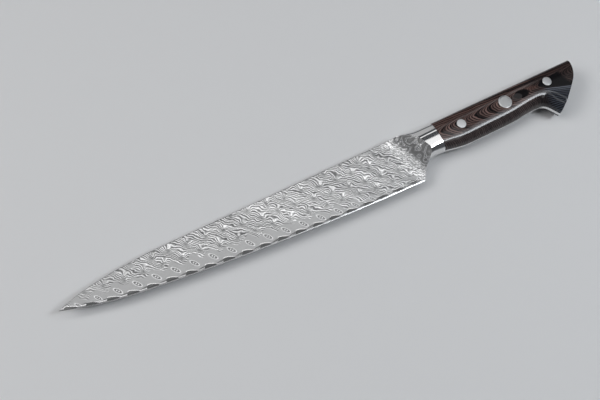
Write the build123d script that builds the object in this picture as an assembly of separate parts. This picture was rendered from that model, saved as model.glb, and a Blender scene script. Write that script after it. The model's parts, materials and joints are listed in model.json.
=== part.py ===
from build123d import *
import os
from math import atan2, cos, degrees, radians, sin, sqrt, tan

# A carving knife lying on its right side: laminated blade, two bolster cheeks, a full tang,
# two handle scales and three two-piece rivets. Millimetres; +X runs from the tip to the butt,
# +Y from the cutting edge to the spine, +Z up through the left side.
# While it is modelled, x counts from the tip, y from the spine line and z from the mid-plane.

# Blade
blade_length = 230.0  # tip to heel corner
blade_height = 33.2  # spine line to cutting edge at the heel
tip_drop = 9.0  # tip below the spine line
spine_thickness = 2.2  # at the heel
edge_thickness = 0.5  # behind the cutting bevel at the heel
distal_loss = 0.7  # how much thinner the spine line is above the tip than above the heel
bevel_angle = 15.0  # degrees, each side
edge_flat = 0.08  # width of the cutting edge itself
core_thickness = 0.34
edge_joint_shares = (0.196, 0.587)  # of length and height, where the two edge arcs meet
edge_heel_angle = 1.4  # degrees, how much the edge rises ahead of the heel
spine_joint_shares = (0.096, 0.378)  # of length and tip drop, where the two spine arcs meet
spine_arc_share = 0.296  # of length, where the straight spine begins

# Wavy line near the cutting edge where the cladding ends and the core shows
wave_count = 20
wave_low = 1.2  # above the edge
wave_high = 2.3
wave_share = 0.88  # of a wave, from the tip to the first low point

# Hollow grind that swells the blade into the bolster
grind_ahead = 11.0  # of the heel corner, at the spine line
grind_slant = 21.0  # degrees
grind_radius = 26.0
grind_sweep = 75.0  # degrees
skin_thickness = 1.0  # cladding over the front of the bolster

# Bolster and handle
heel_to_seam = 22.3  # heel corner to the rear face of the bolster
scale_length = 108.6
seam_thickness = 14.0  # across the bolster at its rear face
butt_thickness = 17.6
tang_thickness = 2.2
top_drop_front = 1.9  # top of the handle below the spine line, at the bolster
top_drop_butt = 2.9
shoulder_length = 12.0  # where the spine steps down to the top of the bolster
choil_angle = 52.0  # degrees
choil_radius = 13.0
choil_drop = 21.2  # highest point of the underside, below the spine line
belly_drop = 24.1
waist_drop = 22.5
beak_drop = 32.6
belly_shares = (0.18, 0.42)  # of scale length, between which the belly is level
beak_share = 0.776  # of scale length
beak_angle = 57.0  # degrees
beak_radius = 8.0  # hollow ahead of the beak
butt_bend_shares = (0.06, 0.5)  # of scale length ahead of the butt, and of top to beak
belly_round = 5.6
top_round = 3.0
butt_round = 0.7
facet_angle = 17.0  # degrees, bevel along the top of each side
facet_front = 9.0  # lower line of that bevel below the spine line, at the heel corner
facet_butt = 6.4

# Rivets: a stud from the left closes into a socket from the right
rivet_clearance = 0.03  # heads and barrels in their holes
pin_clearance = 0.01  # stud pin in its socket, a press fit drawn just free
barrel_gap = 0.3  # end of a barrel to the opposite head, and end of a pin to its bore
head_depth = 2.4
small_rivet = dict(head=3.1, barrel=2.2, pin=1.4)  # radii
large_rivet = dict(head=4.55, barrel=3.0, pin=1.9)
front_rivet_share = 0.156  # of scale length
centre_rivet_share = 0.473
rear_rivet_share = 0.785
front_rivet_drop = 11.8  # below the spine line
centre_rivet_drop = 11.2
rear_rivet_drop = 10.8
medallion_radius = 3.7
medallion_thickness = 0.7

overrun = 40.0  # how far cutting shapes reach past what they cut

half_tang = tang_thickness / 2
half_core = core_thickness / 2
half_spine = spine_thickness / 2
x_heel = blade_length
x_seam = x_heel + heel_to_seam
x_butt = x_seam + scale_length


def corner_arc(corner, radius, angle, away, back):
    """An arc that turns a corner: from its end on the level line to its end on the slope."""
    reach = radius * tan(radians(angle / 2))
    start = corner + Vector(away * reach, 0)
    end = corner + Vector(back * reach * cos(radians(angle)), -reach * sin(radians(angle)))
    return TangentArc(start, end, tangent=(-away, 0))


def wave(start, end):
    """Two arcs from one level point to the other."""
    middle = (start + end) / 2
    first = TangentArc(start, middle, tangent=(end.X - start.X, 0))
    return [first, TangentArc(middle, end, tangent=first % 1)]


def edge_arcs():
    tip = Vector(0, -tip_drop)
    heel = Vector(x_heel, -blade_height)
    joint = Vector(blade_length * edge_joint_shares[0], -blade_height * edge_joint_shares[1])
    forward = Vector(-cos(radians(edge_heel_angle)), sin(radians(edge_heel_angle)))
    rear = TangentArc(heel, joint, tangent=forward)
    return [rear, TangentArc(joint, tip, tangent=rear % 1)]


def spine_edges():
    start = Vector(blade_length * spine_arc_share, 0)
    joint = Vector(blade_length * spine_joint_shares[0], -tip_drop * spine_joint_shares[1])
    rear = TangentArc(start, joint, tangent=(-1, 0))
    front = TangentArc(joint, (0, -tip_drop), tangent=rear % 1)
    return [front, rear, Line(start, (x_heel, 0))]


def side_outline():
    """Every edge round the knife as it is seen from its left side."""
    heel = Vector(x_heel, -blade_height)
    shoulder = Vector(x_heel + shoulder_length, -top_drop_front)
    butt_top = Vector(x_butt, -top_drop_butt)
    beak = Vector(x_seam + scale_length * beak_share, -beak_drop)
    butt_bend = Vector(
        x_butt - scale_length * butt_bend_shares[0],
        -top_drop_butt - (beak_drop - top_drop_butt) * butt_bend_shares[1],
    )
    butt_upper = TangentArc(butt_top, butt_bend, tangent=(0, -1))
    butt_lower = TangentArc(butt_bend, beak, tangent=butt_upper % 1)

    choil_rise = blade_height - choil_drop
    choil_corner = Vector(x_heel + choil_rise / tan(radians(choil_angle)), -choil_drop)
    choil = corner_arc(choil_corner, choil_radius, choil_angle, 1, -1)
    beak_rise = beak_drop - waist_drop
    beak_corner = Vector(beak.X - beak_rise / tan(radians(beak_angle)), -waist_drop)
    hollow = corner_arc(beak_corner, beak_radius, beak_angle, -1, 1)
    belly_front, belly_rear = [Vector(x_seam + scale_length * share, -belly_drop) for share in belly_shares]
    return [
        *edge_arcs(),
        *spine_edges(),
        *wave(Vector(x_heel, 0), shoulder),
        Line(shoulder, butt_top),
        butt_upper,
        butt_lower,
        Line(beak, hollow @ 1),
        hollow,
        *wave(belly_rear, hollow @ 0),
        Line(belly_front, belly_rear),
        *wave(choil @ 0, belly_front),
        choil,
        Line(choil @ 1, heel),
    ]


def plane_through(origin, along, across):
    """The plane at origin that holds both directions and faces up."""
    normal = Vector(along).cross(Vector(across)).normalized()
    if normal.Z < 0:
        normal = -normal
    return Plane(origin=origin, x_dir=along, z_dir=normal)


def side_plane():
    """The flat left side of bolster and handle, which spreads towards the butt."""
    spread = Vector(scale_length, 0, (butt_thickness - seam_thickness) / 2)
    return plane_through((x_seam, 0, seam_thickness / 2), spread, (0, 1, 0))


def side_height(x):
    """Height of that side above the mid-plane."""
    return seam_thickness / 2 + (x - x_seam) * (butt_thickness - seam_thickness) / (2 * scale_length)


def facet_plane():
    """The bevel along the top of that side."""
    front = Vector(x_heel, -facet_front, side_height(x_heel))
    rear = Vector(x_butt, -facet_butt, side_height(x_butt))
    return plane_through(front, rear - front, (0, 1, -tan(radians(facet_angle))))


def blade_plane():
    """The flat left side of the blade: thinner towards the edge and towards the tip."""
    to_edge = Vector(0, -blade_height, (edge_thickness - spine_thickness) / 2)
    to_tip = Vector(-blade_length, 0, -distal_loss / 2)
    return plane_through((x_heel, 0, half_spine), to_tip, to_edge)


def below(solid, plane):
    return split(solid, plane, keep=Keep.BOTTOM)


def above(solid, plane):
    return split(solid, plane, keep=Keep.TOP)


def level(height):
    return Plane((0, 0, height))


def station(x):
    """The plane across the knife at x, whose upper side is towards the butt."""
    return Plane((x, 0, 0), z_dir=(1, 0, 0))


def mirrored(solid):
    """The same piece on the right side."""
    return mirror(solid, about=Plane.XY)


def rounded(solid, radius, wanted):
    return fillet([edge for edge in solid.edges() if wanted(edge.center())], radius)


def left_grip():
    """The left half of bolster and handle, rounded all along, with a stretch of stock ahead."""
    grip = extrude(make_face(side_outline()), butt_thickness)
    grip = above(grip, station(x_heel - overrun))
    grip = below(below(grip, side_plane()), facet_plane())
    x_beak = x_seam + scale_length * beak_share
    low = seam_thickness / 4

    def along_top(point):
        return point.Z > low and point.Y > -top_drop_butt

    def along_belly(point):
        return point.Z > low and point.Y < -choil_drop and x_heel < point.X < x_beak - butt_round

    def along_butt(point):
        return point.Z > low and point.X > x_beak + butt_round and point.Y < -top_drop_butt

    grip = rounded(grip, top_round, along_top)
    return rounded(rounded(grip, belly_round, along_belly), butt_round, along_butt)


def grind_plane():
    """Stands across the hollow grind: its x axis climbs along the blade, its y axis leaves it."""
    face = blade_plane()
    down = Vector(sin(radians(grind_slant)), -cos(radians(grind_slant)), 0)
    climb = down.cross(face.z_dir) * -1
    start_height = half_spine - grind_ahead * distal_loss / (2 * blade_length)
    return Plane((x_heel - grind_ahead, 0, start_height), x_dir=climb, z_dir=climb.cross(face.z_dir))


def grind_space(depth):
    """All that lies over the blade and its hollow grind, down to a depth under their surface."""
    start = Vector(0, -depth)
    middle = Vector(0, grind_radius)
    end = middle + (start - middle).rotate(Axis.Z, grind_sweep)
    bend = middle + (start - middle).rotate(Axis.Z, grind_sweep / 2)
    profile = [
        ThreePointArc(start, bend, end),
        Polyline(end, (end.X, overrun), (-x_butt, overrun), (-x_butt, -depth), start),
    ]
    return extrude(grind_plane() * make_face(profile), overrun * 2, both=True)


def bevel_cutter(arc, past_end, past_start):
    """What the whetstone takes off the left side along one arc of the edge and a little past it."""
    slope = tan(radians(bevel_angle))
    rise = spine_thickness
    profile = Polyline(
        (arc.radius - rise / slope, edge_flat / 2 + rise),
        (arc.radius + rise, edge_flat / 2 - rise * slope),
        (arc.radius + rise, edge_flat / 2 + rise),
        close=True,
    )
    spoke = arc @ 1 - arc.arc_center
    turn = degrees((arc.length + past_end + past_start) / arc.radius)
    start = degrees(atan2(spoke.Y, spoke.X) - past_end / arc.radius)
    ring = revolve(Plane.XZ * make_face(profile), Axis.Z, turn)
    return Pos(arc.arc_center) * Rot(0, 0, start) * ring


def left_half():
    """The left half of the knife in one block, before it is divided into its pieces."""
    slab = below(extrude(make_face(side_outline()), butt_thickness), blade_plane())
    slab = below(slab, station(x_seam))
    rear_arc, front_arc = edge_arcs()
    half = slab + (left_grip() - grind_space(0))
    half -= bevel_cutter(rear_arc, 0, spine_thickness)
    half -= bevel_cutter(front_arc, spine_thickness, 0)
    return half


def edge_y(x):
    """Height of the cutting edge at x."""
    rear, front = edge_arcs()
    arc = rear if x > (rear @ 1).X else front
    return arc.arc_center.Y - sqrt(arc.radius**2 - (x - arc.arc_center.X) ** 2)


def above_waves():
    """The space over the wavy line that the cladding keeps to."""
    pitch = blade_length / wave_count
    lows = [pitch * (k + wave_share) for k in range(wave_count)]
    points = [Vector(x, edge_y(x) + wave_low) for x in lows]
    crests = [Vector(x + pitch / 2, edge_y(x + pitch / 2) + wave_high) for x in lows[:-1]]
    waves = [ThreePointArc(*trio) for trio in zip(points, crests, points[1:])]
    front = Vector(-overrun, points[0].Y)
    rear = Vector(x_seam, points[-1].Y)
    frame = Polyline(points[-1], rear, (x_seam, overrun), (-overrun, overrun), front, points[0])
    return extrude(make_face([*waves, frame]), butt_thickness)


def flush(solid):
    """Ground down level with the left side of the handle."""
    return below(below(solid, side_plane()), facet_plane())


def bar(radius, low, high):
    """A round bar on the z axis between two heights."""
    return Pos(0, 0, (low + high) / 2) * Cylinder(radius, high - low)


def rivet_places():
    """Each rivet: its name, its place on the handle and its radii."""
    rows = [
        ("front_rivet", front_rivet_share, front_rivet_drop, small_rivet),
        ("centre_rivet", centre_rivet_share, centre_rivet_drop, large_rivet),
        ("rear_rivet", rear_rivet_share, rear_rivet_drop, small_rivet),
    ]
    return [(name, x_seam + scale_length * share, -drop, radii) for name, share, drop, radii in rows]


def rivet_hole(x, y, radii):
    """Clears a barrel and, from its seat outwards, a head."""
    seat = side_height(x) - head_depth
    hole = bar(radii["barrel"] + rivet_clearance, -overrun, overrun)
    return Pos(x, y) * (hole + bar(radii["head"] + rivet_clearance, seat, overrun))


def rivet_stud(x, y, radii):
    """The left half of a rivet, a head with a solid pin."""
    seat = side_height(x) - head_depth
    head = flush(Pos(x, y) * bar(radii["head"], seat, overrun))
    return head + Pos(x, y) * bar(radii["pin"], barrel_gap - seat, seat)


def rivet_socket(x, y, radii):
    """The right half of a rivet, a head with a bored barrel that takes the pin."""
    seat = side_height(x) - head_depth
    head = mirrored(flush(Pos(x, y) * bar(radii["head"], seat, overrun)))
    barrel = bar(radii["barrel"], -seat, seat - barrel_gap)
    barrel -= bar(radii["pin"] + pin_clearance, -seat, overrun)
    return head + Pos(x, y) * barrel


def medallion(x, y, radius):
    """The disc let into the outside of the centre rivet's head."""
    floor = side_height(x) - medallion_thickness
    return flush(Pos(x, y) * bar(radius, floor, overrun))


def all_pieces():
    """Every piece by name, in place round the mid-plane."""
    half = left_half()
    cladding = above(half, level(half_core)) & grind_space(skin_thickness) & above_waves()
    core = below(half, level(half_tang)) - cladding
    rest = above(half, level(half_tang)) - cladding
    bolster = below(rest, station(x_seam))
    scale = above(rest, station(x_seam))
    core += mirrored(core)

    pieces = {}
    for name, x, y, radii in rivet_places():
        scale -= rivet_hole(x, y, radii)
        core -= Pos(x, y) * bar(radii["barrel"] + rivet_clearance, -half_tang, half_tang)
        pieces[f"{name}_stud"] = rivet_stud(x, y, radii)
        pieces[f"{name}_socket"] = rivet_socket(x, y, radii)
        if name == "centre_rivet":
            recess = medallion(x, y, medallion_radius + rivet_clearance)
            pieces[f"{name}_stud"] -= recess
            pieces[f"{name}_socket"] -= mirrored(recess)
            pieces["left_medallion"] = medallion(x, y, medallion_radius)
            pieces["right_medallion"] = mirrored(pieces["left_medallion"])

    pieces["blade_core_and_tang"] = core
    for name, solid in (("cladding", cladding), ("bolster", bolster), ("scale", scale)):
        pieces[f"left_{name}"] = solid
        pieces[f"right_{name}"] = mirrored(solid)
    return pieces


def main():
    pieces = all_pieces()
    box = Compound(list(pieces.values())).bounding_box()
    middle = box.center()
    shift = Pos(-middle.X, -middle.Y, -box.min.Z)
    os.makedirs("parts", exist_ok=True)
    for name, solid in pieces.items():
        placed = shift * solid
        placed.label = name
        export_step(placed, f"parts/{name}.step")
    print(f"{len(pieces)} pieces, size {box.size.X:.1f} x {box.size.Y:.1f} x {box.size.Z:.1f}")
    print(f"the tip on the spine line lies at {-middle.X:.3f}, {-middle.Y:.3f}, {-box.min.Z:.3f}")


main()
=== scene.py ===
# %% [markdown]
# # A carving knife around its construction model
#
# The knife lies on its right side: the tip points to -X, the butt to +X, the spine to +Y and
# the left side, which shows, to +Z. The construction model has every piece at its real size.
# Here each piece gets its finish, and a mesh that is fine enough for flowing surfaces.

# %% load the frame
import json
from math import cos, pi, radians, sin, sqrt, tan

import bmesh
import bpy
import numpy as np
from mathutils import Matrix, Vector


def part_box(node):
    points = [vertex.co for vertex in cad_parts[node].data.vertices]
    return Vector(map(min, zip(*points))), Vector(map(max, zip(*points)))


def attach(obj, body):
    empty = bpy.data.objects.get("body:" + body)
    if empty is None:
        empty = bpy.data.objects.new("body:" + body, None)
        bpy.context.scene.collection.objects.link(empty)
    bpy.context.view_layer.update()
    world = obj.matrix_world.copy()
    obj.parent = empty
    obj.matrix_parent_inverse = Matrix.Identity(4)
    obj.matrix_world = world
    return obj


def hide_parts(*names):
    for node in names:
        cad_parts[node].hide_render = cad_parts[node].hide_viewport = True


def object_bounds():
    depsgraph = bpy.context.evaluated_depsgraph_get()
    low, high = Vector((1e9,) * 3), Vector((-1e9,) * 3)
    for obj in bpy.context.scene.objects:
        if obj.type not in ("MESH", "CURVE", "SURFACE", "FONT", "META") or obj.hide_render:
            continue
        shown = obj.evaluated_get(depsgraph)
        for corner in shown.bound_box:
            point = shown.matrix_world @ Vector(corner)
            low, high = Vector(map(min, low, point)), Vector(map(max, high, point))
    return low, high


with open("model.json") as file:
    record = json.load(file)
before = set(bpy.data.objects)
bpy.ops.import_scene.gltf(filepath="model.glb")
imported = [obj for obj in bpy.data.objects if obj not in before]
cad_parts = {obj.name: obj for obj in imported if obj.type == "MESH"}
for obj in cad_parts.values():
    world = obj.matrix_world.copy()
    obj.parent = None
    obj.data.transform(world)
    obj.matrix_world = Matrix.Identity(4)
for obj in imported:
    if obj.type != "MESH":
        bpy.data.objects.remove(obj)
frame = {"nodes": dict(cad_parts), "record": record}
cad_low, cad_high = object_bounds()
print("nodes:", sorted(frame["nodes"]))
print("size in mm:", [round(1000 * (b - a), 1) for a, b in zip(cad_low, cad_high)])

# %% [markdown]
# ## Sizes that the scene reuses
#
# A knife is measured from its tip, along the straight line of the spine, and so are the finishes
# below: x from the tip, y from the spine line (the edge is below zero) and z from the mid-plane
# of the blade, in millimetres. `place` turns such a point into the model's frame, in metres.

# %% sizes
mm = 0.001
blade_length = 230.0
blade_height = 33.2
tip_drop = 9.0
seam_x = 252.3
scale_length = 108.6
seam_half_thickness, butt_half_thickness = 7.0, 8.8
side_lean = (butt_half_thickness - seam_half_thickness) / scale_length
tip_end, spine_line, mid_plane = cad_low[0], cad_high[1], 0.5 * (cad_low[2] + cad_high[2])


def place(x, y, z):
    """A point given in millimetres from the tip, the spine line and the mid-plane."""
    return Vector((tip_end + x * mm, spine_line + y * mm, mid_plane + z * mm))


print("the tip on the spine line lies at", [round(v, 5) for v in place(0, 0, 0)])

# %% [markdown]
# ## The camera
#
# The knife was photographed from above, from the edge's side and well to the left of its middle,
# so the spine climbs to the right and the handle lies farthest away. The turn and the place come
# from matching the straight spine and the three round rivets.

# %% camera
sensor_width, focal_length = 36.0, 52.8
camera_place = place(7.251, -159.768, 488.715)
pitch, roll, heading = 0.297258586, -0.279150134, -0.438925832
camera_turn = Matrix.Rotation(pitch, 4, "X") @ Matrix.Rotation(roll, 4, "Y")
camera_turn = camera_turn @ Matrix.Rotation(heading, 4, "Z")
scene = bpy.context.scene


def added(name, data):
    """A new object of the scene."""
    made = bpy.data.objects.new(name, data)
    scene.collection.objects.link(made)
    return made


camera = added("camera", bpy.data.cameras.new("camera"))
camera.data.sensor_width = sensor_width
camera.data.lens = focal_length
camera.matrix_world = Matrix.Translation(camera_place) @ camera_turn
scene.camera = camera
print("camera at", [round(v, 4) for v in camera.matrix_world.translation])

# %% [markdown]
# ## The table
#
# The knife lies on a plain table. The table isn't part of the knife, so it is only staged here.
# The standard view transform shows the finishes in about the colours that they are written in.

# %% table
scene.view_settings.view_transform = "Standard"
world = bpy.data.worlds.new("studio")
scene.world = world
world.use_nodes = True

floor_half = 3.0
floor_signs = ((-1, -1), (1, -1), (1, 1), (-1, 1))
floor_mesh = bpy.data.meshes.new("floor")
floor_mesh.from_pydata([(floor_half * a, floor_half * b, 0) for a, b in floor_signs], [], [(0, 1, 2, 3)])
floor = added("floor", floor_mesh)
print("table of", 2 * floor_half, "m")

# %% [markdown]
# ## Light
#
# A blade is a row of mirrors, so the light is built for its reflections. One soft panel hangs
# where the flat of the blade looks, and no further back, so that the hollow behind it goes
# darker. Others stand where the honed edge, the bolster, the ridge of the grip and the butt
# look, and the side of the handle looks past them all. A long lamp in front draws the bright
# line along the belly, with two dimmer ones for its soft upper side. The last fills the table.

# %% lamps
def panel(name, middle, size, radiance, spin=0.0, colour=(1, 1, 1)):
    """A soft lamp that looks straight down: its middle, its sides in metres and how bright it looks."""
    data = bpy.data.lights.new(name, "AREA")
    data.shape = "RECTANGLE"
    data.size, data.size_y = size
    data.energy = radiance * pi * size[0] * size[1]
    data.color = colour
    lamp = added(name, data)
    lamp.location = middle
    lamp.rotation_euler.z = spin
    print(name, round(data.energy, 2), "W")


cool = (0.90, 0.95, 1.0)
along_belly, along_facet = radians(-8.0), radians(-20.0)
panel("blade_panel", (0.075, 0.30, 1.0), (0.77, 0.34), 1.2)
panel("edge_lamp", (0.12, -0.25, 1.0), (0.84, 0.10), 1.15)
panel("bolster_panel", (0.485, -0.27, 1.0), (0.17, 1.165), 1.1)
panel("facet_panel", (0.772, 1.40, 1.0), (0.11, 0.75), 0.42, along_facet)
panel("ridge_strip", (0.645, 0.52, 1.0), (0.31, 0.14), 1.0)
panel("butt_panel", (0.82, 0.20, 1.0), (0.16, 0.22), 0.2)
panel("belly_lamp", (0.80, -0.48, 1.2), (0.66, 0.24), 12.0, along_belly, cool)
panel("belly_glow", (0.82, -0.28, 1.21), (0.60, 0.14), 3.5, along_belly, cool)
panel("belly_haze", (0.84, -0.05, 1.22), (0.54, 0.30), 1.3, 0.0, cool)
panel("floor_fill", (-1.3, 0.5, 1.3), (1.0, 1.0), 5.5)

# %% [markdown]
# ## A short way to write shaders
#
# A pattern is a formula of the place on the surface, so it reads best as one. `Shade` wraps the
# output of a node, and each operation on it adds a node: sums and products, and the few forms
# that steel and wood share, which are a wave, a soft line, a climb and a number drawn by lot.

# %% shader maths
def maths(operation):
    """A method that adds a Math node for a value and its other operands."""
    return lambda value, *others: value.nodes.maths(operation, value, *others)


class Shade:
    """The output of a node: a value that varies from place to place."""

    __add__ = __radd__ = maths("ADD")
    __sub__ = maths("SUBTRACT")
    __mul__ = __rmul__ = maths("MULTIPLY")
    __truediv__ = maths("DIVIDE")
    __pow__ = maths("POWER")
    __abs__ = maths("ABSOLUTE")
    lesser, greater, above = maths("MINIMUM"), maths("MAXIMUM"), maths("GREATER_THAN")
    root, cosine, exponent = maths("SQRT"), maths("COSINE"), maths("EXPONENT")
    floor, fraction, wrap = maths("FLOOR"), maths("FRACT"), maths("WRAP")

    def __init__(self, nodes, socket):
        self.nodes, self.socket = nodes, socket

    def __rsub__(self, other):
        return self.nodes.maths("SUBTRACT", other, self)

    def wave(self):
        """Swings between 1 at each whole number and -1 half way."""
        return (self * (2 * pi)).cosine()

    def line(self, width):
        """1 where the value is 0, fading out on both sides."""
        share = self / width
        return (share * share * -1.0).exponent()

    def lot(self):
        """A number from 0 to 1 drawn for each whole number."""
        settings = {"noise_dimensions": "1D"}
        return self.nodes.node("ShaderNodeTexWhiteNoise", settings, {"W": self.floor()})

    def ramp(self, low, high):
        """Climbs smoothly from 0 at low to 1 at high."""
        sockets = {"Value": self, "From Min": low, "From Max": high}
        return self.nodes.node("ShaderNodeMapRange", {"interpolation_type": "SMOOTHSTEP"}, sockets)

    def grey(self):
        return self.nodes.node("ShaderNodeCombineColor", None, {0: self, 1: self, 2: self})


# %% [markdown]
# ## Nodes and finishes
#
# `Nodes` fills any tree, and its `node` method makes every node of this scene. A `Finish` is the
# tree of one material, and knows where each place of the surface lies on the knife.

# %% nodes of a tree
class Nodes:
    """The nodes of one tree."""

    def __init__(self, tree):
        self.tree = tree

    def give(self, socket, value):
        """Links a value to a socket, or sets the socket where the value is a plain one."""
        if isinstance(value, Shade):
            self.tree.links.new(value.socket, socket)
        else:
            socket.default_value = value

    def node(self, kind, settings=None, sockets=None, output=0):
        """Adds a node: first its settings, then the values or links of its sockets."""
        made = self.tree.nodes.new(kind)
        for name, value in (settings or {}).items():
            setattr(made, name, value)
        for key, value in (sockets or {}).items():
            self.give(made.inputs[key], value)
        return Shade(self, made.outputs[output])

    def maths(self, operation, *values):
        return self.node("ShaderNodeMath", {"operation": operation}, dict(enumerate(values)))

    def parts(self, vector):
        """x, y and z of a vector."""
        return [self.node("ShaderNodeSeparateXYZ", None, {0: vector}, output=k) for k in range(3)]


# %% finish
class Finish(Nodes):
    """One material, or the world: its shader and the values that vary over it."""

    def __init__(self, name, owner=None, shader="Principled BSDF", **constants):
        self.material = owner or bpy.data.materials.new(name)
        self.material.use_nodes = True
        super().__init__(self.material.node_tree)
        self.shader = self.tree.nodes[shader]
        self.feed(**constants)

    def feed(self, **values):
        """Gives sockets of the shader their values."""
        for name, value in values.items():
            self.give(self.shader.inputs[name.replace("_", " ").title().replace("Ior", "IOR")], value)

    def done(self, **values):
        """Feeds the shader for the last time and hands over the material."""
        self.feed(**values)
        print(self.material.name, "is made of", len(self.tree.nodes), "nodes")
        return self.material

    def knife_place(self):
        """x, y and z of the place on the surface, in millimetres as a knife is measured."""
        there = self.node("ShaderNodeTexCoord", output="Object")
        moved = self.node("ShaderNodeVectorMath", {"operation": "SUBTRACT"}, {0: there, 1: place(0, 0, 0)})
        scaled = self.node("ShaderNodeVectorMath", {"operation": "SCALE"}, {0: moved, "Scale": 1 / mm})
        return self.parts(scaled)

    def blend(self, first, second, share):
        """The first colour where share is 0, the second where it is 1."""
        return self.node("ShaderNodeMix", {"data_type": "RGBA"}, {6: first, 7: second, 0: share}, output=2)

    def bump(self, height, depth):
        """Relief whose height of 1 stands for this many metres."""
        return self.node("ShaderNodeBump", None, {"Height": height, "Distance": depth, "Strength": 1.0})


def noise(x, y, z=0.0, detail=1.0):
    """Smooth noise between about -1 and 1, one bump for each unit of x, y and z."""
    vector = x.nodes.node("ShaderNodeCombineXYZ", None, {0: x, 1: y, 2: z})
    sockets = {"Vector": vector, "Scale": 1.0, "Detail": detail}
    return x.nodes.node("ShaderNodeTexNoise", None, sockets) * 3.0 - 1.5


def length(across, down):
    return (across * across + down * down).root()


# %% [markdown]
# ## The cutting edge as a formula
#
# The edge is two arcs that meet without a corner. From any place on the blade the formula gives
# the height above the edge, which is what the forged pattern and the whetstone follow.

# %% edge arcs
edge_heel_rise = radians(1.4)
joint_length_share, joint_height_share = 0.196, 0.587
edge_joint = (blade_length * joint_length_share, -blade_height * joint_height_share)


def tangent_circle(start, direction, end):
    """Middle and radius of the circle that leaves start in a direction and passes through end."""
    sideways = np.array([-direction[1], direction[0]])
    chord = np.subtract(end, start)
    radius = chord.dot(chord) / (2 * chord.dot(sideways))
    return np.array(start) + sideways * radius, abs(radius)


rear_middle, rear_radius = tangent_circle(
    (blade_length, -blade_height), (cos(edge_heel_rise), -sin(edge_heel_rise)), edge_joint
)
joint_spoke = (np.array(edge_joint) - rear_middle) / rear_radius
front_middle, front_radius = tangent_circle(edge_joint, (-joint_spoke[1], joint_spoke[0]), (0, -tip_drop))
print("rear arc of the edge:", rear_middle.round(2), "radius", round(rear_radius, 1))
print("front arc of the edge:", front_middle.round(2), "radius", round(front_radius, 1))


def edge_height(x, y):
    """Height above the cutting edge, in millimetres."""
    heights = []
    for middle, radius in ((front_middle, front_radius), (rear_middle, rear_radius)):
        reach = x - float(middle[0])
        drop = (float(radius**2) - reach * reach).root()
        heights.append(y - float(middle[1]) + drop)
    front, rear = heights
    behind = x.above(edge_joint[0])
    return front + (rear - front) * behind


# %% [markdown]
# ## The border of the bare core
#
# Below the cladding the hard core lies bare. Its border is a row of humps, steep ahead and slow
# behind, which get lower towards the tip and almost vanish at the heel.

# %% humps of the core
bevel_height = 0.72
hump_x, hump_pitch, hump_rise = 15.8, 11.5, 1.85
hump_front, hump_back = 0.14, 0.52
flat_humps, hump_loss = (170.0, 215.0), 0.78
tip_humps, tip_loss = (5.0, 45.0), 0.45


def bare_core(x):
    """How far the bare core rises above the bevel, in millimetres."""
    wave = ((x - hump_x) / hump_pitch).wrap(0.8, -0.2)
    tail = (wave / hump_back).greater(0.0).lesser(1.0)
    hump = (wave / hump_front).ramp(-1.0, 0.0) * (1 - tail * tail)
    near_tip = 1 - x.ramp(*tip_humps)
    lower = 1 - x.ramp(*flat_humps) * hump_loss - near_tip * tip_loss
    return hump * lower * hump_rise


# %% [markdown]
# ## Pattern-welded steel
#
# The cladding is forged from many thin layers. Dies press a slanting grid of bumps into the
# billet, and grinding it flat cuts through the layers like the contour lines of a map: stripes
# that run down towards the heel, a dark and a bright core in each bump, and a row of small
# closed eyes near the edge. The layer number is therefore one formula, which climbs across the
# stripes and adds a bump in each cell of the grid, a wave along one diagonal and unevenness.

# %% layers of the cladding
eye_x, eye_y = 33.75, -13.1
eye_pitch, row_pitch = 11.45, 6.8
row_slope, row_shift = 0.1, 0.17
stripe_pitch, stripe_slant = 1.25, radians(38.0)
bump_size, bump_layers, diagonal_layers = 0.21, 1.7, 0.22
core_size, core_offset, dark_core_share = 0.13, 0.13, 0.7
lobe_height = 1.8
eye_half_length, eye_half_height, eye_lean = 1.45, 2.25, 0.62
bar_pitch, bar_lean, rim_width, dark_rim = 1.2, 0.5, 0.14, 0.70


def unevenness(x, y, size, draw):
    """Noise with bumps of this size in millimetres; another draw gives another noise."""
    return noise(x / size, y / size, draw)


def spot(across, down, size):
    """1 in the middle of a round spot, fading to 0 around it."""
    return ((across * across + down * down) * (-1.0 / size**2)).exponent()


def grid_layers(x, row, border):
    """The layer number in the forged grid, how far its stripes show, and its cores."""
    above_eyes = row.ramp(-3.0, 5.0)
    sway, tremble = above_eyes * 1.7, above_eyes * 0.35 + 0.2
    there = x + unevenness(x, row, 8.5, 0.0) * sway + unevenness(x, row, 3.0, 3.0) * tremble
    up = row + unevenness(x, row, 8.0, 7.0) * sway + unevenness(x, row, 3.0, 9.0) * tremble
    along = (there - up * row_shift - eye_x) / eye_pitch
    rise = up / (2 * row_pitch)
    falling, rising = along + rise, along - rise
    across = falling.wrap(0.5, -0.5)
    down = rising.wrap(0.5, -0.5)
    number = there * (sin(stripe_slant) / stripe_pitch) + up * (cos(stripe_slant) / stripe_pitch)
    number = number + spot(across, down, bump_size) * bump_layers
    number = number + falling.wave() * diagonal_layers + unevenness(x, row, 3.6, 5.0) * 0.40
    bright, dark = [spot(across - offset, down, core_size) for offset in (core_offset, -core_offset)]
    lobes = ((there - eye_x) / eye_pitch).wave() * lobe_height
    return number, (up - border - lobes).ramp(0.0, 0.9), bright - dark * dark_core_share


def eyes(x, row):
    """The bars inside the lone eyes, and their bright rim with a dark line within it."""
    aside = (x - eye_x).wrap(eye_pitch / 2, -eye_pitch / 2) + row * eye_lean
    shrunk = x.ramp(165.0, 215.0) * 0.35 + (1 - x.ramp(10.0, 40.0)) * 0.3
    away = length(aside / eye_half_length, row / eye_half_height) + shrunk
    inside = 1 - away.ramp(0.45, 0.70)
    bars = ((row - aside * bar_lean) / bar_pitch).wave()
    return bars * inside, (away - 1.0).line(rim_width) - (away - dark_rim).line(rim_width)


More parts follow.
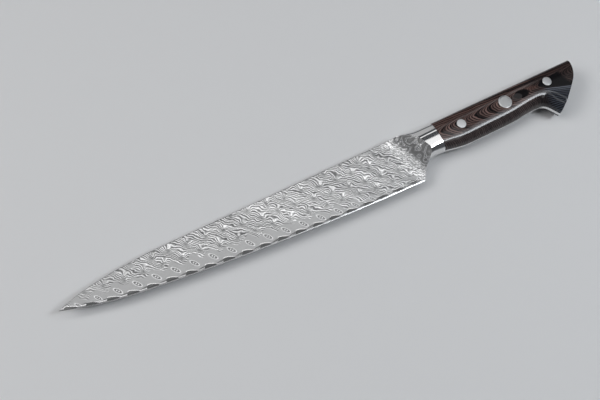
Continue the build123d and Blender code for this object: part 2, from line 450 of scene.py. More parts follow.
# %% [markdown]
# ## From layers to a shade
#
# The acid bites each layer differently, so every layer draws its own grey, and a wave makes the
# thin lines between them. Shades are written as the eye ranks them and made linear at the end.
# Behind the plunge of the grind the cut runs through few layers, so the lines there are wide
# apart and wander over a ground that is painted darker, as painted shade in the hollow. Along
# the plunge a band is painted lighter, a painted highlight where the hollow starts.

# %% patterned steel
grind_front, grind_slant = 219.0, radians(21.0)
outline_height, outline_width, outline_gain = 0.2, 0.32, 0.25
rim_gain, bar_gain = 0.19, 0.8


def seen_grey(shade):
    """A grey as the eye ranks it, as a linear colour."""
    return (shade.greater(0.02).lesser(1.0) ** 2.2).grey()


def forged_grid(x, y, broad, line_contrast, layer_contrast, core_contrast):
    """The shade of stripes, cores, eyes and the outline of the bare core, and the stripes alone."""
    row = y - eye_y + (x - eye_x) * row_slope
    border = broad * 0.8 + 2.9 - x.ramp(150.0, 205.0) * 3.2
    number, shown, cores = grid_layers(x, row, border)
    stripe = number.wave()
    layers = ((number + 0.5).lot() - 0.5) * layer_contrast + cores * core_contrast
    between_cores = 1 - abs(cores) * 0.8
    strength = shown * (x.ramp(5.0, 75.0) * 0.35 + 0.65)
    shade = (layers - stripe * between_cores * line_contrast) * strength
    bars, rim = eyes(x, row)
    above_core = edge_height(x, y) - bevel_height - bare_core(x)
    shade = shade + (above_core - outline_height).line(outline_width) * outline_gain
    shade = shade + (rim * rim_gain - bars * (line_contrast * bar_gain)) * (1 - shown)
    return shade, stripe * shown


def hollow_lines(x, y, into):
    """The shade of the wandering lines in the hollow behind the start of the grind, on a ground painted
    darker as painted shade.
    """
    wandering = unevenness(x, y, 8.0, 21.0) * 1.6 + unevenness(x, y, 3.0, 23.0) * 0.3
    wandering = wandering + into * 0.1
    thin = (wandering.fraction() - 0.5).line(0.16)
    # painted shade: the ground of the hollow is painted 0.22 darker
    return thin * 0.68 + (wandering.lot() - 0.5) * 0.08 - 0.22


def patterned_steel(name, plain, *contrasts):
    """Etched steel: the shade of its plain parts, and the contrast of lines, layers and cores."""
    finish = Finish(name, metallic=1.0)
    x, y, z = finish.knife_place()
    broad = unevenness(x, y, 7.0, 11.0)
    in_grid, stripes = forged_grid(x, y, broad, *contrasts)
    into = (x - grind_front) * cos(grind_slant) + y * sin(grind_slant)
    shade = in_grid + (hollow_lines(x, y, into) - in_grid) * into.ramp(2.0, 8.5)
    # painted highlight: a band along the start of the grind is painted 0.12 lighter, with a real mottle in
    # it
    painted_plunge_highlight = into.ramp(-6.0, 0.0) * (1 - into.ramp(3.0, 8.0))
    shade = shade + painted_plunge_highlight * (unevenness(x, y, 1.5, 31.0) * 0.30 + 0.12) + plain
    streak = noise(x / 2.5, y / 0.12, z, 2.0)
    shade = shade + streak * 0.018 + broad * 0.012
    rough, relief = (plain - shade) * 0.35 + 0.33, finish.bump(stripes, 0.000008)
    return finish.done(base_color=seen_grey(shade), roughness=rough, normal=relief)


patterned = patterned_steel("patterned_steel", 0.72, 0.23, 0.13, 0.17)

# %% [markdown]
# ## The core at the edge
#
# The acid turns the bare core dark, and the whetstone then hones a narrow bright line along the
# edge, painted brighter towards the heel as a painted highlight. The tang is the same piece of steel:
# where it shows along the handle it is polished.

# %% core steel
honed_height, honed_blur = 0.38, 0.06
etched_shade, honed_shade = 0.50, 0.80
tang_front = 231.0


def core_steel(name):
    """Hard steel: dark where the acid etched it, bright along the honed edge and on the tang."""
    finish = Finish(name, metallic=1.0)
    x, y, z = finish.knife_place()
    height = edge_height(x, y)
    honed = 1 - height.ramp(honed_height - honed_blur, honed_height + honed_blur)
    honed = honed.greater(x.ramp(tang_front, tang_front + 1.0))
    # painted highlight: the honed edge is painted up to 0.10 brighter towards the heel, where it catches
    # the light
    bright = x.ramp(40.0, 220.0) * 0.10 + honed_shade
    dark = noise(x / 2.0, y / 0.3, z, 2.0) * 0.04 + etched_shade
    dark = dark - x.ramp(15.0, 90.0) * 0.10
    dark = dark + (1 - bare_core(x).ramp(0.05, 0.35)) * 0.24
    scratch = noise(x / 0.25, y / 2.0, z, 2.0)
    shade = dark + (bright + scratch * 0.03 - dark) * honed
    rough, relief = 0.36 - honed * 0.12, finish.bump(scratch, 0.000002)
    return finish.done(base_color=seen_grey(shade), roughness=rough, normal=relief)


core_finish = core_steel("core_steel")

# %% [markdown]
# ## The other metals
#
# The bolster is mirror polished, with the faint haze of handling. The rivets are polished level
# with the wood and carry fine straight scratches. The disc in the centre rivet is satin.

# %% other metals
def brushed_steel(name, base, roughness, scratch_pitch, relief):
    """Plain steel: its grey, its roughness, and the pitch in mm and the relief in m of its scratches."""
    finish = Finish(name, metallic=1.0)
    x, y, z = finish.knife_place()
    scratch = noise(x / 4.0, y / scratch_pitch, z / scratch_pitch, 3.0)
    cloud = noise(x / 6.0, y / 6.0, z / 6.0, 2.0)
    colour = (base + scratch * 0.03 + cloud * 0.015).grey()
    rough = roughness + scratch * (0.15 * roughness) + cloud * (0.2 * roughness)
    return finish.done(base_color=colour, roughness=rough, normal=finish.bump(scratch, relief))


polished = brushed_steel("polished_steel", 0.76, 0.05, 0.2, 0.0000002)
riveted = brushed_steel("rivet_steel", 0.76, 0.34, 0.12, 0.0000008)
satin = brushed_steel("medallion_steel", 0.62, 0.36, 0.10, 0.000002)

# %% [markdown]
# ## Veneers of the handle block
#
# The scales are cut from dyed veneers, pressed with resin over a curved form. The crowned side
# cuts them in long U-shaped lines: steep round their noses, almost level above and slanting
# below. The bevel along the top cuts nearly along the grain, in fine reddish lines, and the belly
# cuts across the veneers, as fine ribs. So the formula counts the veneers from the front.

# %% veneers
nose_line, upper_reach, lower_run = -11.3, 0.26, 1.65
nose_blunting, belly_depth, belly_run = 5.0, 5.5, 0.35
crown_depth, depth_run = 1.5, 0.9
veneer_pitch, facet_veneer_pitch, rib_pitch = 2.2, 1.4, 1.25
facet_blend, belly_blend = (-7.8, -6.0), (-19.0, -15.5)


def across_veneers(x, y, z, bend, ripple):
    """How far a place on the grip lies across the curved veneers, in millimetres."""
    above = (y - nose_line).greater(0.0)
    below = (nose_line - y).greater(0.0)
    turning = below.lesser(belly_depth)
    surface = (x - seam_x) * side_lean + seam_half_thickness
    depth = (surface - abs(z)).lesser(crown_depth)
    nose = (turning * turning + nose_blunting).root() - sqrt(nose_blunting)
    curve = above**2.8 * upper_reach + nose * lower_run + (below - turning) * belly_run
    return x - curve - depth * depth_run + bend * 1.2 + ripple * 0.35


def veneer_tone(x, y, across, bend, ripple, on_facet, under):
    """How light the veneers are, and the wave that runs across those of the side."""
    number = across / veneer_pitch
    wave = number.wave() * 0.5 + 0.5
    tone = ((number + 0.5).lot() * 0.95 + 0.40) * (wave**1.4 * 0.93 + 0.07)
    level = y / facet_veneer_pitch + x * 0.05 + bend * 0.5 + ripple * 0.15
    level_tone = ((level + 0.5).lot() * 1.15 + 0.02) * (level.wave() * 0.485 + 0.515)
    tone = tone + (level_tone - tone) * on_facet
    rib = across / rib_pitch
    rib_tone = ((rib + 0.5).lot() * 0.35 + 0.40) * (rib.wave() * 0.42 + 0.58)
    tone = tone + (rib_tone - tone) * under * (1 - on_facet)
    return tone * (1.2 - x.ramp(318.0, 330.0) * 0.85), wave


# %% [markdown]
# ## Dark marks and the fan at the butt
#
# The widest veneers are black. Behind the centre rivet the cut closes round a grey oval in a
# black patch. Another black patch lies ahead of the butt, and under it the veneer lines spread
# like a fan; their cool greys, lighter towards the top, are a painted sheen of the lamps on the
# flare. Each mark is an oval or a band with soft borders.

# %% marks in the wood
black_veneers = ((255.0, 1.2), (261.0, 0.9), (265.8, 0.9), (281.3, 1.7), (291.3, 1.8), (300.5, 1.4))
grey_oval = dict(middle=(312.6, -11.9), half_length=4.3, half_width=2.9)
black_patch = dict(middle=(316.8, -11.2), half_length=6.0, half_width=3.3, slope=-0.04)
red_patch = dict(middle=(325.0, -10.4), half_length=5.2, half_width=1.7, slope=-0.22)
patch_line, rear_patch, patch_top = -11.2, (327.5, 331.0), (-8.6, -7.6)
fan_x, fan_slope, fan_border, fan_pitch = 335.0, 0.33, (-15.6, -14.4), 1.3


def oval_distance(x, y, middle, half_length, half_width, slope=0.0):
    """1 on the rim of an oval whose long axis climbs by this slope, less inside it."""
    down = y - middle[1] - (x - middle[0]) * slope
    return length((x - middle[0]) / half_length, down / half_width)


def dark_marks(x, y, across, ripple, on_facet, under):
    """1 where the wood is black, and 1 in the patch round the grey oval alone."""
    dark = 0.0
    for middle, width in black_veneers:
        dark = (across - middle).line(width * 0.9) + dark
    dark = dark * (1 - on_facet * 0.6) * (1 - under * 0.9)
    patch_away = oval_distance(x, y, **black_patch) + ripple * 0.06
    patch = 1 - patch_away.ramp(0.80, 1.05)
    from_line = abs(y - patch_line)
    rear = (x - from_line * 1.3).ramp(*rear_patch) * (1 - y.ramp(*patch_top))
    rear = rear * (y + (x - fan_x) * fan_slope).ramp(*fan_border)
    rear = rear * (1 - (x + y * 0.3).ramp(344.5, 348.5))
    return dark.greater(patch).greater(rear).lesser(1.0), patch


# %% [markdown]
# ## Laminated handle wood
#
# The colour goes from black to brown with the lightness of the veneers and the fine pores. The
# wood is buffed until the resin shines, so a clear coat lies over it.

# %% laminated wood
black, brown, red = (0.0030, 0.0028, 0.0036, 1), (0.235, 0.150, 0.132, 1), (0.140, 0.073, 0.060, 1)
grey_brown, belly_brown = (0.055, 0.050, 0.050, 1), (0.100, 0.083, 0.082, 1)
# painted sheen: these cool greys stand in for the lamps' reflection on the flare of the butt
sheen_blue_grey, sheen_pale_blue = (0.060, 0.072, 0.092, 1), (0.190, 0.210, 0.250, 1)


def laminated_wood(name):
    """Dyed veneers in clear resin, as the side, the bevel and the belly of the grip cut them."""
    finish = Finish(name, metallic=0.0, coat_weight=1.0, coat_roughness=0.08, specular_ior_level=0.0)
    x, y, z = finish.knife_place()
    bend = noise(x / 14.0, y / 6.0, z / 9.0)
    ripple = noise(x / 3.5, y / 1.6, z / 1.8)
    pores = noise((x + y * 0.8) / 2.6, (y - x * 0.12) / 0.35, z / 0.8, 2.0) * 0.5 + 0.5
    on_facet, under = y.ramp(*facet_blend), 1 - y.ramp(*belly_blend)
    across = across_veneers(x, y, z, bend, ripple)
    tone, wave = veneer_tone(x, y, across, bend, ripple, on_facet, under)
    dark, patch = dark_marks(x, y, across, ripple, on_facet, under)

    warm = finish.blend(brown, red, on_facet * (0.75 + bend * 0.4))
    warm = finish.blend(warm, belly_brown, under * 0.85)
    colour = finish.blend(black, warm, (tone * 0.88 + pores * 0.20 - 0.07) * (1 - dark * 0.97))
    oval = 1 - (oval_distance(x, y, **grey_oval) + ripple * 0.05).ramp(0.80, 1.0)
    colour = finish.blend(colour, grey_brown, oval * (0.95 - pores * 0.35))
    reddened = 1 - oval_distance(x, y, **red_patch).ramp(0.5, 1.2)
    colour = finish.blend(colour, red, reddened * pores * (1 - patch) * 0.8)

    # painted sheen: the real veneer lines at the flare are coloured in cool greys, lighter towards the
    # top, as the lamps' reflection
    over_fan = y + (x - fan_x) * fan_slope
    fan_sheen = (1 - over_fan.ramp(*fan_border)) * x.ramp(330.0, 336.0)
    fan_lines = ((over_fan + ripple * 0.15) / fan_pitch).wave() * 0.5 + 0.5
    fan_sheen_grey = finish.blend(sheen_blue_grey, sheen_pale_blue, over_fan.ramp(-19.5, -15.5))
    colour = finish.blend(colour, finish.blend(black, fan_sheen_grey, fan_lines), fan_sheen * 0.80)
    relief = finish.bump(pores + wave * 0.3, 0.000005)
    return finish.done(base_color=colour, roughness=0.34 + pores * 0.10, normal=relief)


wood = laminated_wood("laminated_wood")

# %% [markdown]
# ## Walls of the studio
#
# Polished steel shows the room around it. Here the room is a background that darkens from pale
# walls near the horizon to a dark ceiling, so that the lamps stand out in the mirrors.

# %% walls of the studio
pale_wall, dark_ceiling = (0.34, 0.35, 0.37, 1), (0.080, 0.083, 0.090, 1)
wall_top, ceiling_edge = 0.06, 0.26
walls = Finish("studio_walls", world, "Background", strength=1.0)
direction = walls.node("ShaderNodeTexCoord", output="Generated")
climb = walls.node("ShaderNodeSeparateXYZ", None, {0: direction}, output=2)
walls.done(color=walls.blend(pale_wall, dark_ceiling, climb.ramp(wall_top, ceiling_edge)))

# %% [markdown]
# ## Pale floor
#
# The knife lies on a plain matt table, pale enough to keep its shadow. A very faint cloudiness,
# wider than the knife, keeps the table from looking like paper.

# %% pale floor
cloud_size, floor_grey, floor_roughness = 400.0, 0.80, 0.7


def pale_floor(name):
    """A matt pale grey."""
    finish = Finish(name, metallic=0.0)
    x, y, z = finish.knife_place()
    cloud = noise(x / cloud_size, y / cloud_size, z, 2.0)
    grey, rough = (cloud * 0.01 + floor_grey).grey(), cloud * 0.05 + floor_roughness
    return finish.done(base_color=grey, roughness=rough)


floor_mesh.materials.append(pale_floor("pale_floor"))

# %% [markdown]
# ## Finishes on the construction nodes
#
# The record names the material of each piece, and all pieces of one material share one finish.
# The construction nodes get theirs too, although finer meshes take their place further down.

# %% finishes on the construction nodes
finishes = {"core_steel": core_finish, "patterned_steel": patterned, "polished_steel": polished}
finishes |= {"laminated_wood": wood, "rivet_steel": riveted, "medallion_steel": satin}
for part in frame["record"]["subparts"]:
    node = frame["nodes"][part["node"]]
    node.data.materials.clear()
    node.data.materials.append(finishes[part["material_slot"]])
    print(part["node"], "is of", part["material_slot"])

# %% [markdown]
# ## Outlines read from the construction model
#
# The new surfaces have to end exactly where the construction pieces end. A ray shot at a node
# from outside gives its outline at one place. Edge, spine, belly and butt are read from the core
# and tang, because that piece runs through the whole knife.

# %% outlines
tang_node = frame["nodes"]["blade_core_and_tang"]
half_core, half_tang = 0.17, 1.1
far, station_step = 60.0, 0.2
handle_start, grip_end = seam_x - 24.0, 300.0


def hit(start, direction):
    """Where a ray in the mid-plane first meets the core or its tang, as x and y in millimetres."""
    found, point = tang_node.ray_cast(place(*start, 0), Vector((*direction, 0)))[:2]
    return ((point.x - tip_end) / mm, (point.y - spine_line) / mm) if found else None


def outline(stations, from_side):
    """The lower (-1) or upper (1) outline at each x, as y."""
    return np.array([hit((x, from_side * far), (0, -from_side))[1] for x in stations])


butt_x = (cad_high[0] - cad_low[0]) / mm
handle_x = np.arange(handle_start, butt_x, station_step)
low_y = outline(handle_x, -1)
beak_at = np.argmin(np.where(handle_x > grip_end, low_y, 0))
beak = np.array([handle_x[beak_at], low_y[beak_at]])
top_y = outline(handle_x, 1)
butt_top = np.array([butt_x, top_y[-1]])
corner_gap, butt_rays = 0.05, 90
butt_y = np.linspace(butt_top[1] - corner_gap, beak[1] + corner_gap, butt_rays)
butt_line = np.array([hit((butt_x + far, y), (-1, 0)) for y in butt_y])
butt_line = np.vstack([butt_top, butt_line, beak])
belly_line = np.column_stack([handle_x, low_y])[handle_x < beak[0]]
belly_line = np.vstack([belly_line, beak])
top_line = np.column_stack([handle_x, top_y])
print("beak", beak.round(2), "butt top", butt_top.round(2), "belly points", len(belly_line))

# %% [markdown]
# ## The shape of the grip
#
# The handle is not a slab: its side is slightly crowned, rounds off over a third of its depth
# towards the belly, and has a flat bevel along the top. The surface is the least of three simple
# curves, each measured from one outline, and a soft blend where they meet makes the fine ridges
# that catch the light.

# %% grip surface
facet_slope, facet_climb = tan(radians(17.0)), 2.6 / 130.9
crown_radius, crown_y = 46.0, -12.2
belly_reach, belly_power = 10.5, 1.9
tight_reach, tight_start, tight_length = 6.0, 244.0, 36.0
top_radius, butt_radius = 2.4, 0.9
facet_start = -9.0
crown_softness, ridge_softness = 0.5, 0.25


def distance_to(line, x, y):
    """Distance from each place to a line of points."""
    best = np.full(np.shape(x), np.inf)
    for a, b in zip(line[:-1], line[1:]):
        step = b - a
        share = np.clip(((x - a[0]) * step[0] + (y - a[1]) * step[1]) / step.dot(step), 0, 1)
        best = np.minimum(best, np.hypot(x - a[0] - share * step[0], y - a[1] - share * step[1]))
    return best


def soft_least(a, b, width):
    """The lesser of two heights, blended over a small width."""
    share = np.clip(0.5 + 0.5 * (b - a) / width, 0, 1)
    return b * (1 - share) + a * share - width * share * (1 - share)


def quarter(distance, reach, power):
    """0 at the outline, rising steeply and levelling out at 1 a reach away from it."""
    inside = 1 - np.clip(distance / reach, 0, 1)
    return (1 - inside**power) ** (1 / power)


def side_height(x):
    """Height of the flat of the side."""
    return seam_half_thickness + (x - seam_x) * side_lean


def belly_turn(x):
    """How far in from the belly its rounding starts; less beside the bolster."""
    return tight_reach + (belly_reach - tight_reach) * np.clip((x - tight_start) / tight_length, 0, 1)


def facet_line(x):
    """Where the bevel along the top begins."""
    return facet_start + (x - blade_length) * facet_climb


def grip_height(x, y):
    """Height of the left side of bolster and handle over the mid-plane."""
    side = side_height(x)
    crown = side - (y - crown_y) ** 2 / (2 * crown_radius) * (y > crown_y)
    from_belly = distance_to(belly_line[::3], x, y)
    belly = half_tang + (side - half_tang) * quarter(from_belly, belly_turn(x), belly_power)
    facet = side - facet_slope * (y - facet_line(x))
    edge = top_radius * (1 - quarter(distance_to(top_line[::6], x, y), top_radius, 2))
    height = soft_least(soft_least(belly, crown, crown_softness), facet, ridge_softness) - edge
    return np.maximum(height, half_tang)


print("the flat of the side climbs from", side_height(seam_x), "to", round(side_height(butt_x), 2), "mm")

# %% [markdown]
# ## The shape of the blade's side
#
# The side is a plane that leans in towards the edge and the tip. Ahead of the bolster the wheel
# leaves a hollow: a round trough that starts on a slant and swells up until it meets the side of
# the grip. That meeting line is the border of the bolster.

# %% blade surface
spine_thickness, spine_taper, edge_thickness = 2.2, 0.7, 0.5
tip_thinning = spine_taper / (2 * blade_length)
edge_thinning = (spine_thickness - edge_thickness) / (2 * blade_height)
wheel_radius, wheel_share = 26.0, 0.999


def blade_side(x, y):
    """Height of the blade's left side and its hollow grind over the mid-plane."""
    flat = spine_thickness / 2 + (x - blade_length) * tip_thinning + y * edge_thinning
    into = (x - grind_front) * cos(grind_slant) + y * sin(grind_slant)
    into = np.clip(into, 0, wheel_share * wheel_radius)
    return flat + wheel_radius - np.sqrt(wheel_radius**2 - into**2)


print("half of the spine in mm, tip and heel:", blade_side(np.array([0, blade_length]), 0).round(2))

# %% [markdown]
# ## Solids from a grid of heights
#
# Such a piece is a grid of points over the side of the knife, lifted to its surface. A second
# grid closes it on the inside, and walls join the two. Edges sharper than a fillet stay sharp.

# %% grid solids
merge_gap, sharp_angle = 0.002, radians(32.0)


def grid_solid(name, x, y, height, inside, right=False):
    """A closed mesh between a lifted grid and its inner side; the right one is the mirror image."""
    rows, columns = x.shape
    count = rows * columns
    side = -1.0 if right else 1.0
    points = [place(a, b, side * c) for z in (height, inside) for a, b, c in zip(x.flat, y.flat, z.flat)]
    cells = [(i * columns + k) for i in range(rows - 1) for k in range(columns - 1)]
    faces = [(c, c + columns, c + columns + 1, c + 1) for c in cells]
    faces += [tuple(count + corner for corner in reversed(face)) for face in faces]
    ring = list(range(columns)) + [i * columns + columns - 1 for i in range(1, rows)]
    ring += [(rows - 1) * columns + k for k in range(columns - 2, -1, -1)]
    ring += [i * columns for i in range(rows - 2, 0, -1)]
    faces += [(a, b, count + b, count + a) for a, b in zip(ring, ring[1:] + ring[:1])]
    mesh = bpy.data.meshes.new(name)
    mesh.from_pydata(points, [], faces)
    return finished(name, mesh)


def finished(name, mesh, sharp=sharp_angle):
    """Merges, turns the faces outwards, marks the sharp edges and makes the object."""
    work = bmesh.new()
    work.from_mesh(mesh)
    bmesh.ops.remove_doubles(work, verts=work.verts, dist=merge_gap * mm)
    bmesh.ops.dissolve_degenerate(work, edges=work.edges, dist=0.5 * merge_gap * mm)
    bmesh.ops.recalc_face_normals(work, faces=work.faces)
    for face in work.faces:
        face.smooth = True
    for edge in work.edges:
        edge.smooth = len(edge.link_faces) == 2 and edge.calc_face_angle(0.0) < sharp
    work.to_mesh(mesh)
    work.free()
    print(name, len(mesh.polygons), "faces")
    return added(name, mesh)


def made_plain(piece):
    """The mesh that the modifiers of a piece give it, under the same name."""
    mesh = bpy.data.meshes.new_from_object(piece.evaluated_get(bpy.context.evaluated_depsgraph_get()))
    name = piece.name
    bpy.data.objects.remove(piece)
    return finished(name, mesh)


def stand_in_for(piece, node, slot):
    """Rides on the knife, hides the construction node and takes its finish."""
    piece.data.materials.clear()
    piece.data.materials.append(finishes[slot])
    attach(piece, "root")
    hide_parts(node)


# %% [markdown]
# ## Borders of cladding and bolster
#
# Both end where the hollow grind meets the grip. Each row finds that line by walking forward from
# the seam until the grind lies lower than the grip. The lower border of the cladding rises over
# each hump of the bare core, steeply ahead of it and slowly behind it.

# %% border of the cladding
border_gap, tip_gap = 0.03, 1.6
border_search, border_steps, row_count = 22.0, 120, 39


def smooth_climb(value, low, high):
    share = np.clip((value - low) / (high - low), 0, 1)
    return share * share * (3 - 2 * share)


def hump_height(x):
    """Height of the cladding's lower border above the edge."""
    wave = ((x - hump_x) / hump_pitch + 0.2) % 1 - 0.2
    hump = smooth_climb(wave / hump_front, -1, 0) * (1 - np.clip(wave / hump_back, 0, 1) ** 2)
    lower = 1 - hump_loss * smooth_climb(x, *flat_humps) - tip_loss * (1 - smooth_climb(x, *tip_humps))
    return bevel_height + border_gap + hump_rise * hump * lower


blade_x = np.arange(tip_gap, blade_length, station_step)
edge_y = outline(blade_x, -1)
spine_y = outline(blade_x, 1)
behind = handle_x > blade_length
all_x = np.concatenate([blade_x, handle_x[behind]])
all_low = np.concatenate([edge_y + hump_height(blade_x), low_y[behind]])
all_top = np.concatenate([spine_y, top_y[behind]])


def between(x, share):
    """y at a share of the way from the spine down to the lower border."""
    return np.interp(x, all_x, all_top) * (1 - share) + np.interp(x, all_x, all_low) * share


def border_x(share):
    """Where the hollow grind comes up to the side of the grip."""
    x = np.linspace(seam_x, seam_x - border_search, border_steps)
    y = between(x, share)
    rise = blade_side(x, y) - grip_height(x, y)
    k = int(np.argmax(rise < 0))
    return x[k] + (x[k - 1] - x[k]) * rise[k] / (rise[k] - rise[k - 1])


row_shares = 0.5 * (1 - np.cos(np.linspace(0, pi, row_count)))
borders = np.array([border_x(share) for share in row_shares])
print("border of the bolster from", borders.min().round(1), "to", borders.max().round(1))

# %% [markdown]
# ## Blade sides and bolster cheeks
#
# Real cladding is forge-welded to the core and ground thin towards the edge, and the bolster
# cheeks are welded on behind it. Here both are grids between the borders, closed on the plane
# where they meet the core. The core keeps its construction mesh, with its bevels marked crisp.

# %% cladding and bolster
clad_lines, bolster_lines = 621, 27
spine_rounding, rounding_reach = 0.12, 0.3
clad_depth, least_clad = 1.0, 0.02
crisp_bevel = radians(8.0)
steps = np.linspace(0, 1, clad_lines)[:, None]
clad_x = all_x[0] + (borders[None, :] - all_x[0]) * steps
clad_y = between(clad_x, row_shares[None, :])
from_spine = between(clad_x, 0.0) - clad_y
rounding = spine_rounding * (1 - quarter(from_spine, rounding_reach, 2))
clad_side = blade_side(clad_x, clad_y)
clad_floor = np.clip(clad_side - clad_depth, half_core, half_tang)
clad_z = np.maximum(clad_side - rounding, clad_floor + least_clad)
steps = np.linspace(0, 1, bolster_lines)[:, None]
bolster_x = borders[None, :] + (seam_x - borders[None, :]) * steps
bolster_y = between(bolster_x, row_shares[None, :])
bolster_z = grip_height(bolster_x, bolster_y)
bolster_floor = np.full_like(bolster_z, half_tang)
core = finished("core_with_crisp_bevels", tang_node.data.copy(), crisp_bevel)
stand_in_for(core, "blade_core_and_tang", "core_steel")
for side in ("left", "right"):
    clad = grid_solid(f"{side}_blade_side", clad_x, clad_y, clad_z, clad_floor, side == "right")
    stand_in_for(clad, f"{side}_cladding", "patterned_steel")
    cheek_name = f"{side}_bolster_cheek"
    cheek = grid_solid(cheek_name, bolster_x, bolster_y, bolster_z, bolster_floor, side == "right")
    stand_in_for(cheek, f"{side}_bolster", "polished_steel")

# %% [markdown]
# ## A lathe for the rivets
#
# Each rivet is a stud with a solid pin, pressed into a socket with a bored barrel, and the large
# one carries a disc in each head. All are turned, and so are they here: a Geometry Nodes tree
# sweeps a profile round a circle, its x the radius counted from the circle and its y the depth.
# The tree also leans the outer face with the side of the handle and grinds off what would stand
# over the bevel along the top, as the belt does on the real handle.

# %% a lathe in geometry nodes
circle_radius, around = 1.0, 72
lathe_sockets = {"Geometry": "Geometry", "Place": "Vector", "Turn": "Vector"}
lathe_sockets |= {name: "Float" for name in ("Seat", "Lean", "Bevel Start", "Bevel Side")}
lathe_sockets |= {"Segments": "Int", "Finish": "Material"}


def lathe_tree():
    """A tree that turns a profile round the Z axis and sets it in place, and its inputs."""
    tree = bpy.data.node_groups.new("lathe", "GeometryNodeTree")
    inputs = {}
    for name, kind in lathe_sockets.items():
        socket = tree.interface.new_socket(name, in_out="INPUT", socket_type=f"NodeSocket{kind}")
        inputs[name] = socket.identifier
    tree.interface.new_socket("Geometry", in_out="OUTPUT", socket_type="NodeSocketGeometry")
    nodes = Nodes(tree)
    source = tree.nodes.new("NodeGroupInput").outputs
    given = {name: Shade(nodes, source[name]) for name in lathe_sockets}

    sockets = {"Radius": circle_radius * mm, "Resolution": given["Segments"]}
    circle = nodes.node("GeometryNodeCurvePrimitiveCircle", None, sockets)
    circle = nodes.node("GeometryNodeSetCurveNormal", {"mode": "Z_UP"}, {0: circle})
    profile = nodes.node("GeometryNodeMeshToCurve", None, {0: given["Geometry"]})
    turned = nodes.node("GeometryNodeCurveToMesh", None, {"Curve": circle, "Profile Curve": profile})
    turned = nodes.node("GeometryNodeMergeByDistance", None, {0: turned, "Distance": merge_gap * mm})
    x, y, z = nodes.parts(nodes.node("GeometryNodeInputPosition"))
    over = (y * given["Bevel Side"] - given["Bevel Start"]).greater(0.0)
    offset = nodes.node("ShaderNodeCombineXYZ", None, {2: x * given["Lean"] - over * facet_slope})
    outer = nodes.node("FunctionNodeCompare", {"operation": "GREATER_THAN"}, {0: z, 1: given["Seat"]})
    sockets = {"Geometry": turned, "Selection": outer, "Offset": offset}
    turned = nodes.node("GeometryNodeSetPosition", None, sockets)
    turn = nodes.node("FunctionNodeEulerToRotation", None, {0: given["Turn"]})
    sockets = {"Geometry": turned, "Translation": given["Place"], "Rotation": turn}
    turned = nodes.node("GeometryNodeTransform", None, sockets)
    turned = nodes.node("GeometryNodeRealizeInstances", None, {0: turned})
    sockets = {"Geometry": turned, "Material": given["Finish"]}
    turned = nodes.node("GeometryNodeSetMaterial", None, sockets)
    tree.links.new(turned.socket, tree.nodes.new("NodeGroupOutput").inputs[0])
    return tree, inputs


lathe, lathe_inputs = lathe_tree()
print("the lathe takes", sorted(lathe_inputs))


# %% turning a piece
def turned_piece(name, profile, **values):
    """Turns a profile of radius and height in millimetres, and makes the result a plain mesh."""
    mesh = bpy.data.meshes.new(name)
    points = [((radius - circle_radius) * mm, -height * mm, 0) for radius, height in profile]
    mesh.from_pydata(points, [(k, k + 1) for k in range(len(points) - 1)], [])
    blank = added(name, mesh)
    modifier = blank.modifiers.new("lathe", "NODES")
    modifier.node_group = lathe
    for key, value in {"Segments": around, **values}.items():
        modifier[lathe_inputs[key.replace("_", " ").title()]] = value
    return made_plain(blank)


# %% [markdown]
# ## Profiles of the rivets
#
# The pin of the stud is a press fit in the barrel of the socket, and each head ends flush with
# the wood, with a softly rounded rim and a faint dome from polishing. A profile is a list of
# radius and height from axis to axis. The heads of the centre rivet are turned out for a disc.

# %% profiles of the rivets
head_depth, barrel_gap, pin_gap, hole_gap = 2.4, 0.3, 0.01, 0.03
rim_radius, head_dome, head_proud = 0.28, 0.07, 0.04
disc_radius, disc_depth, disc_gap, disc_rim, disc_dome = 3.7, 0.7, 0.03, 0.1, 0.04
rim_turns, dome_steps, head_start, disc_start = np.linspace(0, pi / 2, 6), 8, 0.875, 0.9
small, large = dict(head=3.1, barrel=2.2, pin=1.4), dict(head=4.55, barrel=3.0, pin=1.9)
rivet_sizes = dict(front_rivet=small, centre_rivet=large, rear_rivet=small)


def dome(radius, top, rise, start):
    """A shallow dome, from this share of its radius in to the axis."""
    return [(radius * share, top + rise * (1 - share**2)) for share in np.linspace(start, 0, dome_steps)]


def head_profile(head, seat, top, disc):
    """From the underside of a head over its rounded rim to its middle, or to the seat of a disc."""
    rim = [(head - rim_radius * (1 - cos(t)), top - rim_radius * (1 - sin(t))) for t in rim_turns]
    if disc:
        inner = disc_radius + disc_gap
        return [(head, seat), *rim, (inner, top), (inner, top - disc_depth), (0, top - disc_depth)]
    return [(head, seat), *rim, *dome(head - rim_radius, top, head_dome, head_start)]


def stud_profile(sizes, seat, top, disc):
    pin, end = sizes["pin"], barrel_gap - seat
    return [(0, end), (pin, end), (pin, seat), *head_profile(sizes["head"], seat, top, disc)]


def socket_profile(sizes, seat, top, disc):
    bore, barrel, end = sizes["pin"] + pin_gap, sizes["barrel"], barrel_gap - seat
    inside = [(0, seat), (bore, seat), (bore, end), (barrel, end), (barrel, seat)]
    return [*inside, *head_profile(sizes["head"], seat, top, disc)]


def disc_profile(top):
    low = top - disc_depth
    rim = [(disc_radius, low), (disc_radius, top - disc_rim), (disc_radius - disc_rim, top)]
    return [(0, low), *rim, *dome(disc_radius, top, disc_dome, disc_start)]


# %% [markdown]
# ## Setting the rivets
#
# The studs come from the left and the sockets, turned over, from the right, each where its
# construction node stands. The stepped drill that will bore its hole is kept for later.

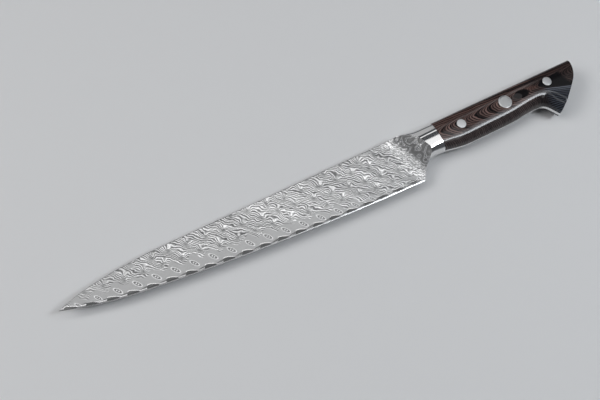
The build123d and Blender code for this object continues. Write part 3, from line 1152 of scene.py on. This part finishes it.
# %% rivets
above_seat = 0.1
drill_profiles, drill_places = {}, {}
for name, sizes in rivet_sizes.items():
    low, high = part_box(f"{name}_stud")
    x, y = ((low.x + high.x) / 2 - tip_end) / mm, ((low.y + high.y) / 2 - spine_line) / mm
    top, seat = side_height(x) + head_proud, side_height(x) - head_depth
    has_disc = name == "centre_rivet"
    shared = dict(place=place(x, y, 0), seat=(seat + above_seat) * mm, lean=side_lean)
    shared["bevel_start"] = (facet_line(x) - y) * mm
    left = dict(shared, turn=(0, 0, 0), bevel_side=1.0)
    right = dict(shared, turn=(pi, 0, 0), bevel_side=-1.0)
    for half, profile, values in (("stud", stud_profile, left), ("socket", socket_profile, right)):
        points = profile(sizes, seat, top, has_disc)
        turned = turned_piece(f"{name}_turned_{half}", points, finish=riveted, **values)
        stand_in_for(turned, f"{name}_{half}", "rivet_steel")
    for side, values in (("left", left), ("right", right)) if has_disc else ():
        disc = turned_piece(f"{side}_turned_disc", disc_profile(top), finish=satin, **values)
        stand_in_for(disc, f"{side}_medallion", "medallion_steel")
    hole, neck = sizes["head"] + hole_gap, sizes["barrel"] + hole_gap
    drill_profiles[name] = [(0, -far), (neck, -far), (neck, seat), (hole, seat), (hole, far), (0, far)]
    drill_places[name] = shared["place"]

# %% [markdown]
# ## Handle scales
#
# Each scale is one flowing surface between four outlines: the seam, the top, the belly with its
# beak, and the domed butt. Lines run from top to belly, leaning more and more until the last one
# is the butt itself.

# %% surface of the scales
plain_lines, butt_lines, butt_share, last_turn = 160, 14, 0.985, 0.05
top_rows, middle_rows, belly_rows = 8, 22, 20
bulge_power = 7


def along(line, shares):
    """Points at shares of the length of a line of points."""
    lengths = np.concatenate([[0], np.cumsum(np.hypot(*np.diff(line, axis=0).T))])
    return np.column_stack([np.interp(shares * lengths[-1], lengths, line[:, k]) for k in range(2)])


butt_turns = np.cos(np.linspace(last_turn, pi / 2, butt_lines)) ** 2
lines = np.concatenate([np.linspace(0, butt_share, plain_lines), 1 - (1 - butt_share) * butt_turns])
tops = along(top_line[top_line[:, 0] >= seam_x], lines)
bellies = along(belly_line[belly_line[:, 0] >= seam_x], lines)
upper_turns, lower_turns = np.linspace(0, pi / 2, top_rows), np.linspace(pi / 2, 0, belly_rows)
scale_x, scale_y = [], []
for top, belly, share in zip(tops, bellies, lines):
    span = np.hypot(*(belly - top))
    upper = top_radius * (1 - np.cos(upper_turns))
    lower = span - belly_reach * (1 - np.cos(lower_turns))
    middle = np.linspace(upper[-1], lower[0], middle_rows)[1:-1]
    shares = np.concatenate([upper, middle, lower]) / span
    straight = top + (belly - top) * shares[:, None]
    bulge = along(butt_line, shares) - (butt_top + (beak - butt_top) * shares[:, None])
    line = straight + bulge * share**bulge_power
    scale_x.append(line[:, 0])
    scale_y.append(line[:, 1])
scale_x, scale_y = np.array(scale_x), np.array(scale_y)
butt_edge = butt_radius * (1 - quarter(distance_to(butt_line[::3], scale_x, scale_y), butt_radius, 2))
scale_z = np.maximum(grip_height(scale_x, scale_y) - butt_edge, half_tang)
scale_floor = np.full_like(scale_z, half_tang)
print("scales of", scale_x.shape, "points, up to", scale_z.max().round(2), "mm high")

# %% [markdown]
# ## Boring and fitting the scales
#
# A stepped drill bores the holes: a wide bore seats the head, and a narrower one lets the barrel
# through. The same lathe turns these drills, and a Boolean cut bores the scale, so the heads sit
# in real wood with a hair's breadth around them.

# %% boring and fitting the scales
def bore(piece, drills):
    """Cuts round holes through a piece."""
    for drill in drills:
        cut = piece.modifiers.new("hole", "BOOLEAN")
        cut.object = drill
        cut.operation = "DIFFERENCE"
        cut.solver = "EXACT"
    return made_plain(piece)


for side, turn in (("left", 0.0), ("right", pi)):
    drills = []
    for name, profile in drill_profiles.items():
        where = dict(place=drill_places[name], turn=(turn, 0, 0), seat=far * mm)
        drills.append(turned_piece(f"{name}_drill", profile, **where))
    scale = grid_solid(f"{side}_handle_scale", scale_x, scale_y, scale_z, scale_floor, side == "right")
    stand_in_for(bore(scale, drills), f"{side}_scale", "laminated_wood")
    for drill in drills:
        bpy.data.objects.remove(drill)
